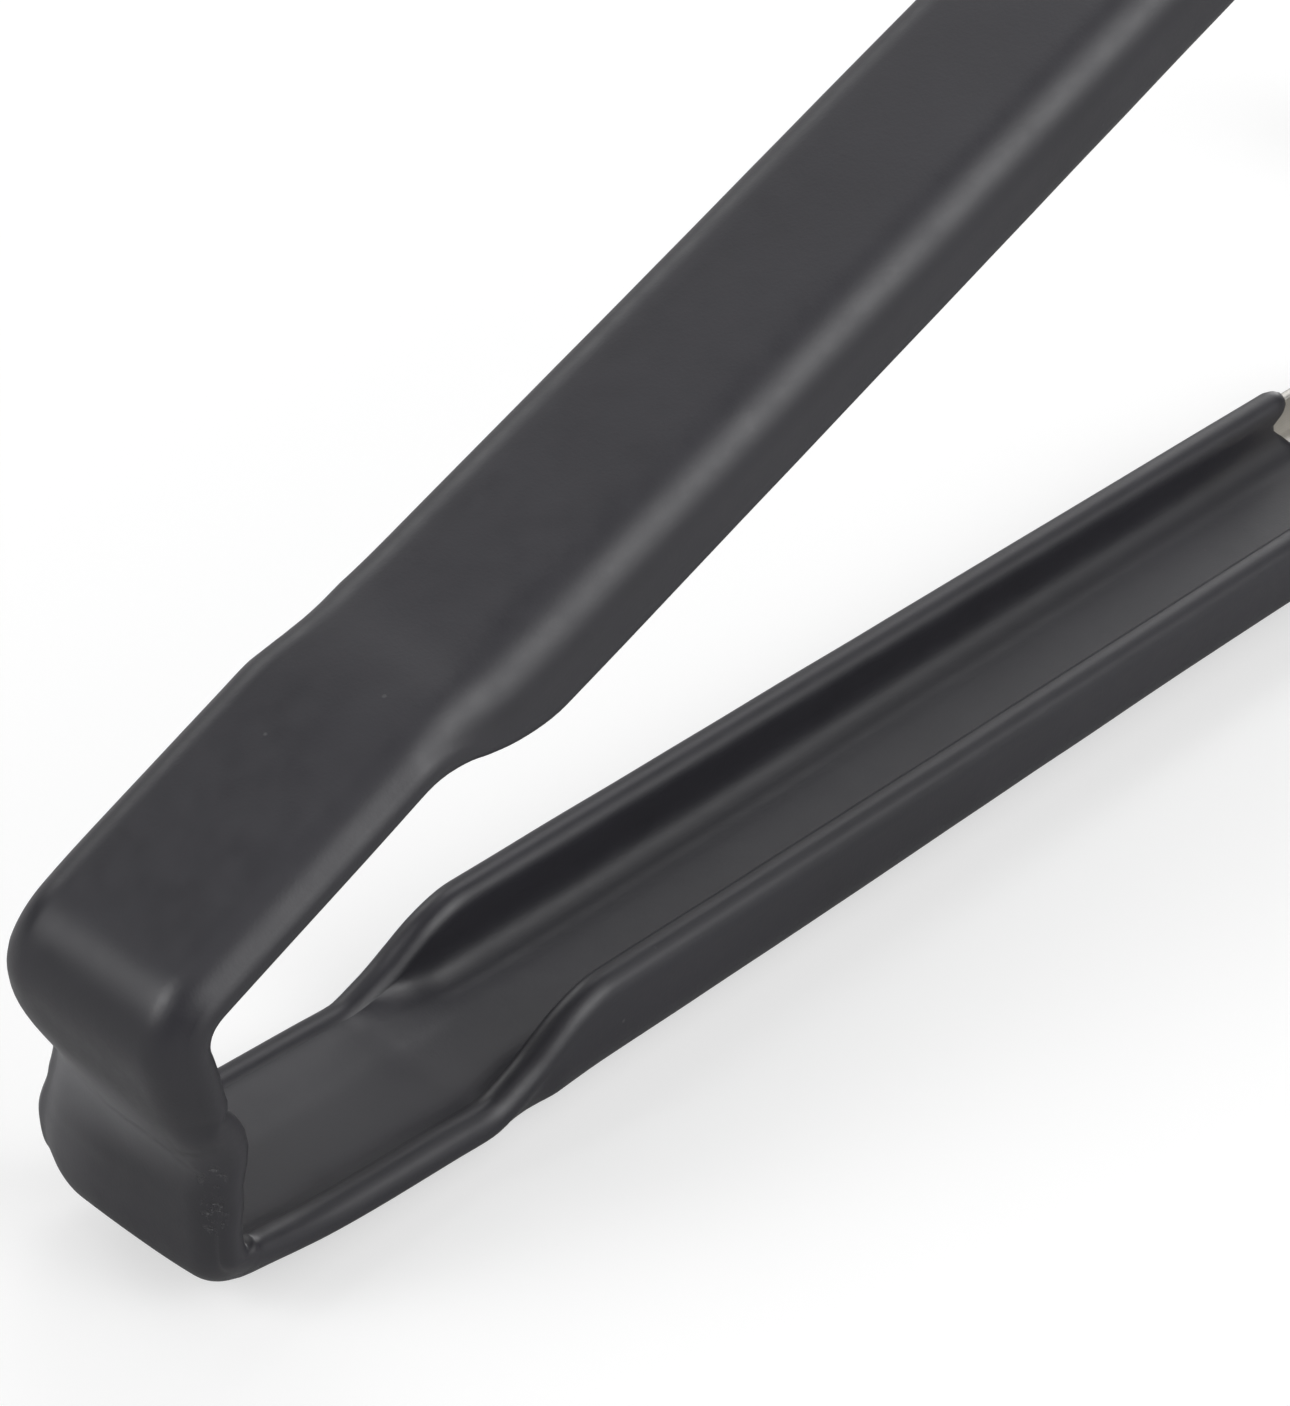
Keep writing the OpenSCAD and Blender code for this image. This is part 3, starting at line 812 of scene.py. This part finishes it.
def sheet(name, grow, thick, edge_radius, material, upper, grid, sigma, step):
    """A curved sheet with rounded edges, on the jaw's plan."""
    outline = closed_resample(jaw_outline(grow), step, sigma)
    tangent = np.roll(outline, -1, 0) - np.roll(outline, 1, 0)
    tangent /= np.linalg.norm(tangent, axis=1)[:, None]
    inward = np.stack([-tangent[:, 1], tangent[:, 0]], 1)
    rim = []                 # (distance inward, height off the mid surface)
    for k in range(7):
        angle = math.pi / 2 * k / 6
        rim.append((edge_radius * (1 - math.sin(angle)),
                    thick / 2 - edge_radius * (1 - math.cos(angle))))
    rim += [(d, -height) for d, height in rim[::-1]]
    count = len(outline)
    edge = outline + inward * edge_radius
    points = [Vector(p) for p in edge] + [Vector(p) for p in fill_points(edge, outline, grid)]
    plan, _, triangles, sources, _, _ = delaunay_2d_cdt(
        points, [], [list(range(count))], 1, 1e-6)
    sources = [list(s)[0] if len(s) else -1 for s in sources]
    plan = np.array([tuple(v) for v in plan])

    verts, uv = [], []
    for inset, height in rim:
        for p, direction in zip(outline, inward):
            p = p + direction * inset
            verts.append(jaw_lift(*p, height))
            uv.append(p)
    faces = [(k * count + j, (k + 1) * count + j,
              (k + 1) * count + (j + 1) % count, k * count + (j + 1) % count)
             for k in range(len(rim) - 1) for j in range(count)]
    for height, base, order in ((thick / 2, 0, 1), (-thick / 2, (len(rim) - 1) * count, -1)):
        ids = []
        for p, source in zip(plan, sources):
            if 0 <= source < count:
                ids.append(base + source)
            else:
                ids.append(len(verts))
                verts.append(jaw_lift(*p, height))
                uv.append(p)
        faces += [tuple(ids[i] for i in triangle)[::order] for triangle in triangles]
    return make(name, tip_to_row(np.array(verts), upper), faces, np.array(uv)[:, ::-1], material)


def dome(radius, height, base_z, sign):
    """(Radius, z) points of a shallow dome from its crown to its rim."""
    sphere = (radius * radius + height * height) / (2 * height)
    angles = [math.asin(radius / sphere) * k / 9 for k in range(10)]
    return [(sphere * math.sin(a), base_z + sign * (height - sphere * (1 - math.cos(a))))
            for a in angles]


LAP = 2 * STEEL              # the two sheets a rivet holds
# A rivet's turned profile, (radius, z): back head, shank, then the head on the inner side.
RIVET = dome(3.45, 0.72, -0.08, -1) \
    + [(3.57, -0.04), (3.6, 0.0), (3.55, 0.04), (2.0, 0.04), (2.0, LAP - 0.04),
       (3.25, LAP - 0.04), (3.3, LAP), (3.27, LAP + 0.05)] \
    + dome(3.15, 1.08, LAP + 0.12, 1)[::-1]
RIVET_N = 56


def rivets(name, upper):
    n = RIVET_N
    verts, faces, uv = [], [], []
    for centre_x in RIVETS:
        base = len(verts)
        verts.append((centre_x, 0, RIVET[0][1]))
        uv.append((0, 0))
        for radius, z in RIVET[1:-1]:
            for k in range(n):
                angle = 2 * math.pi * k / n
                verts.append((centre_x + radius * math.cos(angle), radius * math.sin(angle), z))
                uv.append((radius * angle, radius))
        verts.append((centre_x, 0, RIVET[-1][1]))
        uv.append((0, 0))
        last = len(verts) - 1
        for k in range(n):
            faces.append((base, base + 1 + (k + 1) % n, base + 1 + k))
            faces.append((last, last - n + k, last - n + (k + 1) % n))
        for i in range(len(RIVET) - 3):
            for k in range(n):
                a, b = base + 1 + i * n + k, base + 1 + i * n + (k + 1) % n
                faces.append((a, b, b + n, a + n))
    return make(name, tip_to_row(np.array(verts), upper), faces, np.array(uv), RIVET_STEEL)


# ---------------------------------------------------------------- the pieces
def flex(piece, slot, *replaced):
    """A piece that runs over both halves: its placement goes into its mesh, and the parts it
    replaces are hidden.
    """
    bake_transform(piece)
    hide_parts(*replaced)


def ride(piece, body, replaced):
    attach(piece, body)
    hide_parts(replaced)


flex(strap(), "stainless_steel", "lower_arm", "bow_spring", "upper_arm")
flex(skin(), "grip_coating", "lower_grip_sleeve", "bow_sleeve", "upper_grip_sleeve")
for which, upper in (("lower", False), ("upper", True)):
    body = which + "_half"
    plate = sheet(which + "_jaw_plate", grow=0.0, thick=STEEL, edge_radius=0.3,
                  material=JAW_STEEL, upper=upper, grid=1.3, sigma=0.3, step=0.6)
    ride(plate, body, which + "_jaw")
    pad = sheet(which + "_jaw_pad", grow=JAW_COAT, thick=STEEL + 2 * JAW_COAT, edge_radius=1.55,
                material=JAW_VINYL, upper=upper, grid=1.2, sigma=0.7, step=0.5)
    ride(pad, body, which + "_jaw_coating")
    ride(rivets(which + "_rivets", upper), body, which + "_jaw_rivets")

# ---------------------------------------------------------------- floor
FLOOR_Z = -1.25 / 1000
FLOOR_HALF = 6               # metres
FLOOR_TONE = 0.504
FLOOR_LIFT = 0.53            # glow that only the camera sees

floor_material, graph, surface = new_material("pale_floor")
set_surface(graph, surface, {"Base Color": (FLOOR_TONE, FLOOR_TONE, FLOOR_TONE, 1),
                             "Roughness": 0.9, "Specular IOR Level": 0.1,
                             "Emission Color": (1, 1, 1, 1)})
seen = graph.add("LightPath").outputs["Is Camera Ray"]
set_surface(graph, surface, {"Emission Strength": graph.times(seen, FLOOR_LIFT)})
floor_mesh = bpy.data.meshes.new("floor")
floor_mesh.from_pydata([(x * FLOOR_HALF, y * FLOOR_HALF, FLOOR_Z)
                        for x, y in ((-1, -1), (1, -1), (1, 1), (-1, 1))], [], [(0, 1, 2, 3)])
floor = bpy.data.objects.new("floor", floor_mesh)
floor_mesh.materials.append(floor_material)
bpy.context.scene.collection.objects.link(floor)


# ---------------------------------------------------------------- camera
def turn(direction):
    """A direction in the centre-line frame, in the row frame."""
    x, y, z = direction
    return Vector((x * COS - z * SIN, y, x * SIN + z * COS))


# The view's own axes and place, in the centre-line frame (place in mm).
VIEW_RIGHT = (0.67733, -0.72894, -0.09939)
VIEW_DOWN = (-0.55498, -0.41760, -0.71945)
VIEW_FORWARD = (0.48293, 0.54246, -0.68740)
VIEW_PLACE = (-115.52, -197.85, 248.60)

camera = bpy.data.objects.new("camera", bpy.data.cameras.new("camera"))
camera.data.lens = 111.36
camera.data.sensor_width = 36.0
camera.data.sensor_fit = "AUTO"
camera.data.clip_start = 0.01
camera.data.clip_end = 50
pose = Matrix((turn(VIEW_RIGHT), -turn(VIEW_DOWN), -turn(VIEW_FORWARD))).transposed().to_4x4()
pose.translation = Vector(row_metres(VIEW_PLACE))
camera.matrix_world = pose
bpy.context.scene.collection.objects.link(camera)
bpy.context.scene.camera = camera

# ---------------------------------------------------------------- light
LOBE_FOCUS = 45.0            # higher is tighter
BACKDROP = 0.97              # brightness of the world as the camera sees it
# Large soft lights, far away: azimuth and elevation in degrees, strength.
LOBES = [
    (44, 57, 2.87), (154.3, 42, 6.52), (80, 28, 2.96), (280, 28, 3.54), (282.9, 42, 2.63),
    (300, 28, 2.73), (284, 57, 1.97), (160, 28, 4.71), (257.1, 42, 1.43), (22, 15, 4.13),
    (4, 57, 1.2), (282, 3, 2.51), (25.7, 42, 0.51), (324, 57, 0.87), (204, 76, 0.89),
    (308.6, 42, 0.53), (30, 3, 3.23), (292, 15, 0.41), (77.1, 42, 0.13), (246, 3, 0.67),
    (66, 3, 0.46)]


def lobe_light(graph, look, azimuth, elevation, strength):
    azimuth, elevation = math.radians(azimuth), math.radians(elevation)
    toward = (math.cos(elevation) * math.cos(azimuth), math.cos(elevation) * math.sin(azimuth),
              math.sin(elevation))
    facing = graph.add("VectorMath", {0: look, 1: toward}, operation="DOT_PRODUCT")
    off_axis = graph.math("SUBTRACT", facing.outputs["Value"], 1.0)
    falloff = graph.math("EXPONENT", graph.times(off_axis, LOBE_FOCUS), 0.0)
    return graph.times(falloff, strength)


world = bpy.data.worlds.new("studio")
bpy.context.scene.world = world
world.use_nodes = True
graph = Graph(world.node_tree)
background = graph.add("Background", {0: (1, 1, 1, 1)})
graph.add("OutputWorld", {0: background.outputs[0]})
look = graph.add("TexCoord").outputs["Generated"]
total = None
for lobe in LOBES:
    light = lobe_light(graph, look, *lobe)
    total = light if total is None else graph.plus(total, light)
eye = graph.add("LightPath").outputs["Is Camera Ray"]
lit = graph.times(total, graph.math("SUBTRACT", 1.0, eye))
graph.feed(background.inputs[1], graph.plus(lit, graph.times(eye, BACKDROP)))
bpy.context.scene.view_settings.view_transform = "Standard"
